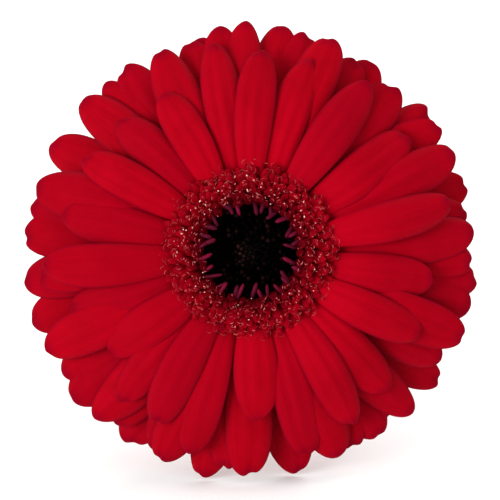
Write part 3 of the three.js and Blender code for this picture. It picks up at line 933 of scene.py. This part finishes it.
def bract_material():
    """Leaf green with a paler edge, browner towards the tip, a little woolly, and painted shade towards
    the root.
    """
    finish = Finish(
        "bract",
        Specular_IOR_Level=0.3,
        Sheen_Weight=0.05,
        Sheen_Roughness=0.6,
        Sheen_Tint=(0.8, 0.9, 0.6, 1.0),
    )
    ribs = finish.noise(finish.stretched(finish.flat_place(), (18.0, 1.2, 1.0)), 1.0, 3.0)
    grain = finish.noise(finish.place(), 900.0, 3.0)
    share = finish.attribute("share")
    green = finish.mix(ribs * 0.6 + grain * 0.4, *BRACT_GREENS)
    # Painted shade: darker towards the root, in the gaps and under the overlapping bracts.
    green = finish.mix(finish.steps(share, 0.55, 0.1) * 0.7, green, BRACT_ROOT_SHADE)
    green = finish.mix(finish.steps(finish.attribute("side"), 0.7, 1.0) * 0.5, green, BRACT_EDGE_GREEN)
    green = finish.mix(finish.steps(share, 0.85, 1.0) * 0.6, green, BRACT_TIP_BROWN)
    finish.set("Base Color", green)
    finish.set("Roughness", 0.55 + grain * 0.2)
    finish.set("Normal", finish.bump(ribs * 0.7 + grain * 0.3, 0.0002, 0.6))
    return finish.material


bract_rng = np.random.default_rng(17)
bract_directions = []
bract_roots = []
bract_tips = []
bract_lifts = []
for number, (count, root, tip, lift) in enumerate(BRACT_ROWS):
    turn = (np.arange(count) + number * 0.37 + bract_rng.uniform(-0.12, 0.12, count)) * 2 * np.pi / count
    bract_directions.append(turn)
    bract_roots.append(np.full(count, root))
    bract_tips.append(tip - bract_rng.uniform(0.0, 0.06, count))
    bract_lifts.append(np.full(count, lift * MM))
bract_columns = [np.concatenate(rows) for rows in (bract_directions, bract_roots, bract_tips, bract_lifts)]
bract_direction, bract_root, bract_tip, bract_lift = (column[:, None, None] for column in bract_columns)
bract_count = len(bract_direction)
share = np.linspace(0.0, 1.0, BRACT_LENGTHS)[None, :, None]
side = np.linspace(-1.0, 1.0, BRACT_SIDES)[None, None, :]
bract_radius, bract_height = cup_place(bract_root + (bract_tip - bract_root) * share)
bract_half = BRACT_WIDTH / 2 * (0.45 + 0.55 * ease(share, 0.0, 0.35))
bract_half = bract_half * np.clip(1.0 - share**2.6, 0.03, 1.0)
bract_free = bract_rng.uniform(0.0, 1.0, (bract_count, 1, 1)) * MM * ease(share, 0.6, 1.0)
bract_out = bract_radius + bract_lift * ease(share, 0.0, 0.2) + bract_free + BRACT_ARCH * (1.0 - side**2)
bract_turn = bract_direction + bract_half * side / np.maximum(bract_radius, neck_radius)
inside = about_axis(bract_turn, bract_out, 0.0, bract_height)
outside = inside - surface_normals(inside) * BRACT_SHELL
points, faces = shell(inside, outside)
bract_grid = (bract_count, BRACT_LENGTHS, BRACT_SIDES)
shares = np.broadcast_to(share, bract_grid).reshape(bract_count, -1)
sides = np.broadcast_to(side, bract_grid).reshape(bract_count, -1)
uv = np.stack([sides * 0.5 + np.arange(bract_count)[:, None] * 0.7, shares], axis=-1)
attributes = {"share": np.tile(shares, (1, 2)), "side": np.abs(np.tile(sides, (1, 2)))}
bract_uv = np.tile(uv, (1, 2, 1)).reshape(-1, 2)
bracts = mesh_piece("involucre_bracts", from_head(points), faces, bract_material(), attributes, bract_uv)
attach(bracts, "root")
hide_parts("involucre")


# ---- Scape ----
# The leafless stem, one piece with the receptacle that it swells into at the head. It is round, faintly
# ribbed and finely downy. Its cut end is clean and pale, with a spongy middle.
SCAPE_SIDES = 72
SCAPE_STEPS = 200
SCAPE_RIBS = 12
SCAPE_RIB_DEPTH = 0.10 * MM
CUT_ROWS = 0.0, 0.35, 0.62, 0.94  # radii of the cut face's rings, as shares of the stem's
CUT_BULGES = 0.12, 0.12, 0.1, 0.08  # mm that they stand out
PITH_ROWS = 2  # rings of the cut face that are pith
TOP_ROWS = 0.96, 0.5, 0.0  # the same for the receptacle's face, as shares of its own radius
TOP_HOLLOWS = 0.1, 2.0, 2.2  # mm that its rings lie below its edge
RING_CORNERS = 12  # of one ring of the CAD stem
STEM_RING = 6  # a ring a little past the cut, whose radius stands for the stem's
NECK_REDDENING = 40 * MM  # of the stem below the head
FACE_SHADE_HEIGHTS = -4 * MM, -1 * MM  # between which painted shade darkens the receptacle towards its face, down among the buds
FLAT_SCALE = 30.0  # of the flat map along the stem, to a metre
SCAPE_GREENS = (0.075, 0.15, 0.025), (0.17, 0.28, 0.06)
NECK_BROWN = (0.16, 0.10, 0.03)
CUT_GREEN = (0.42, 0.50, 0.24)
PITH_CREAM = (0.70, 0.72, 0.52)
# painted shade on the receptacle's face, seen only between the buds
FACE_SHADE_BLACK = (0.004, 0.001, 0.001)

scape_points = solid_points("scape")
in_head = to_head(scape_points)
behind_neck = in_head[:, 2] < cup_low - 0.1 * MM
stem_corners = scape_points[behind_neck]
stem_corners = stem_corners[np.argsort(stem_corners[:, 1])]
ring_count = len(stem_corners) // RING_CORNERS
stem_rings = np.array_split(stem_corners[: ring_count * RING_CORNERS], ring_count)
ring_middles = [ring.mean(axis=0) for ring in stem_rings[:-1]]
stem_end = stem_corners[-RING_CORNERS - 1 :].mean(axis=0)
receptacle = in_head[~behind_neck]
receptacle_radius = np.hypot(receptacle[:, 0], receptacle[:, 1])
receptacle_top = receptacle[:, 2].max()
receptacle_levels = np.unique(np.round(receptacle[:, 2] / MM)) * MM
neck_place, widest_place = from_head(np.array([[0.0, 0.0, cup_low], [0.0, 0.0, receptacle_top]]))


def smooth_line(knots, count, parts=8):
    """A line through knots by Catmull and Rom's rule, resampled at even steps of its length."""
    padded = np.concatenate([2 * knots[:1] - knots[1:2], knots, 2 * knots[-1:] - knots[-2:-1]])
    t = np.linspace(0.0, 1.0, parts + 1)[:-1, None, None]
    before, first, second, after = padded[:-3], padded[1:-2], padded[2:-1], padded[3:]
    line = 0.5 * (
        2 * first
        + (second - before) * t
        + (2 * before - 5 * first + 4 * second - after) * t**2
        + (3 * first - before - 3 * second + after) * t**3
    )
    line = np.concatenate([line.transpose(1, 0, 2).reshape(-1, 3), knots[-1:]])
    length = np.append(0.0, np.cumsum(np.linalg.norm(np.diff(line, axis=0), axis=1)))
    even = np.linspace(0.0, length[-1], count)
    return np.stack([np.interp(even, length, line[:, axis]) for axis in range(3)], axis=1), even


def scape_material():
    """Fresh green with pale streaks, redder by the neck, a pale cut face with a spongy middle, and painted
    black shade on the receptacle's face.
    """
    finish = Finish(
        "scape",
        Specular_IOR_Level=0.35,
        Sheen_Weight=0.35,
        Sheen_Roughness=0.4,
        Sheen_Tint=(0.85, 0.95, 0.7, 1.0),
    )
    streaks = finish.noise(finish.stretched(finish.flat_place(), (30.0, 3.0, 1.0)), 1.0, 3.0)
    grain = finish.noise(finish.place(), 1200.0, 3.0)
    green = finish.mix(streaks, *SCAPE_GREENS)
    green = finish.mix(finish.attribute("neck") * 0.45, green, NECK_BROWN)
    green = finish.mix(finish.attribute("cut"), green, CUT_GREEN)
    green = finish.mix(finish.attribute("pith"), green, PITH_CREAM)
    # Painted shade: the receptacle's face, seen only between the buds, is black.
    green = finish.mix(finish.attribute("face"), green, FACE_SHADE_BLACK)
    finish.set("Base Color", green)
    finish.set("Roughness", 0.5 + grain * 0.2)
    finish.set("Normal", finish.bump(streaks * 0.6 + grain * 0.4, 0.0002, 0.6))
    return finish.material


stem_knots = np.concatenate([[stem_end], ring_middles[::-1], [neck_place, widest_place]])
scape_line, scape_length = smooth_line(stem_knots, SCAPE_STEPS)
scape_along = np.gradient(scape_line, axis=0)
scape_along /= np.linalg.norm(scape_along, axis=1, keepdims=True)
ring_radii = [np.linalg.norm(ring - ring.mean(axis=0), axis=1).mean() for ring in stem_rings[:-1]]
stem_y = np.array([middle[1] for middle in ring_middles])
scape_radius = np.interp(scape_line[:, 1], stem_y, ring_radii)
scape_height = to_head(scape_line)[:, 2]
level_radii = [
    receptacle_radius[np.abs(receptacle[:, 2] - level) < 0.6 * MM].max() for level in receptacle_levels
]
head_share = scape_height >= cup_low
scape_radius[head_share] = np.interp(scape_height[head_share], receptacle_levels, level_radii)

cut_way, top_way = scape_along[:1], scape_along[-1:]
cut_centres = scape_line[:1] - cut_way * np.array(CUT_BULGES)[:, None] * MM
top_centres = scape_line[-1:] - top_way * np.array(TOP_HOLLOWS)[:, None] * MM
centres = np.concatenate([cut_centres, scape_line, top_centres])
cut_ways, top_ways = np.repeat(cut_way, len(CUT_ROWS), 0), np.repeat(top_way, len(TOP_ROWS), 0)
directions = np.concatenate([cut_ways, scape_along, top_ways])
cut_radii, top_radii = np.array(CUT_ROWS) * scape_radius[0], np.array(TOP_ROWS) * scape_radius[-1]
radii = np.concatenate([cut_radii, scape_radius, top_radii])
across = np.cross(directions, [0.0, 0.0, 1.0])
across /= np.linalg.norm(across, axis=1, keepdims=True)
over = np.cross(across, directions)
turn = np.linspace(0.0, 2 * np.pi, SCAPE_SIDES, endpoint=False)
stem_radius = scape_radius[STEM_RING]
rib = 1.0 - SCAPE_RIB_DEPTH / stem_radius * (0.5 - 0.5 * np.cos(turn * SCAPE_RIBS))
ring = np.cos(turn)[None, :, None] * across[:, None] + np.sin(turn)[None, :, None] * over[:, None]
grid = centres[1:-1, None] + ring[1:-1] * (radii[1:-1, None] * rib)[..., None]
rows = len(grid)
index = np.arange(rows * SCAPE_SIDES).reshape(rows, SCAPE_SIDES)
around = np.roll(index, -1, axis=1)
wall = np.stack([index[:-1], index[1:], around[1:], around[:-1]], axis=-1).reshape(-1, 4)
end_cap = np.stack([np.full(SCAPE_SIDES, rows * SCAPE_SIDES), index[0], around[0]], axis=-1)
top_cap = np.stack([np.full(SCAPE_SIDES, rows * SCAPE_SIDES + 1), around[-1], index[-1]], axis=-1)
points = np.concatenate([grid.reshape(-1, 3), centres[:1], centres[-1:]])
points[:, 2] = np.maximum(points[:, 2], FLOOR_GAP)
faces = wall.tolist() + end_cap.tolist() + top_cap.tolist()


def per_ring(values):
    """One number per point from one number per ring, with the two end points last."""
    return np.concatenate([np.repeat(values[1:-1], SCAPE_SIDES), values[:1], values[-1:]])


cut_count, top_count = len(CUT_ROWS), len(TOP_ROWS)
from_cut = np.concatenate([np.zeros(cut_count), scape_length, np.full(top_count, scape_length[-1])])
near_top = np.concatenate([np.full(cut_count, -1.0), scape_height, np.full(top_count, receptacle_top)])
ring_number = np.arange(len(centres))
marks = {
    "cut": per_ring((ring_number < cut_count).astype(float)),
    "pith": per_ring((ring_number < PITH_ROWS).astype(float)),
    "neck": per_ring(ease(near_top, cup_low - NECK_REDDENING, cup_low)),
    # face: painted shade on the receptacle's face among the buds
    "face": per_ring(ease(near_top, *FACE_SHADE_HEIGHTS)),
}
around_share = np.append(np.tile(turn / (2 * np.pi), rows), [0.0, 0.0])
scape_uv = np.stack([around_share, per_ring(from_cut) * FLAT_SCALE], axis=1)
scape = mesh_piece("scape_stem", points, faces, scape_material(), marks, scape_uv)
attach(scape, "root")
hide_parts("scape")
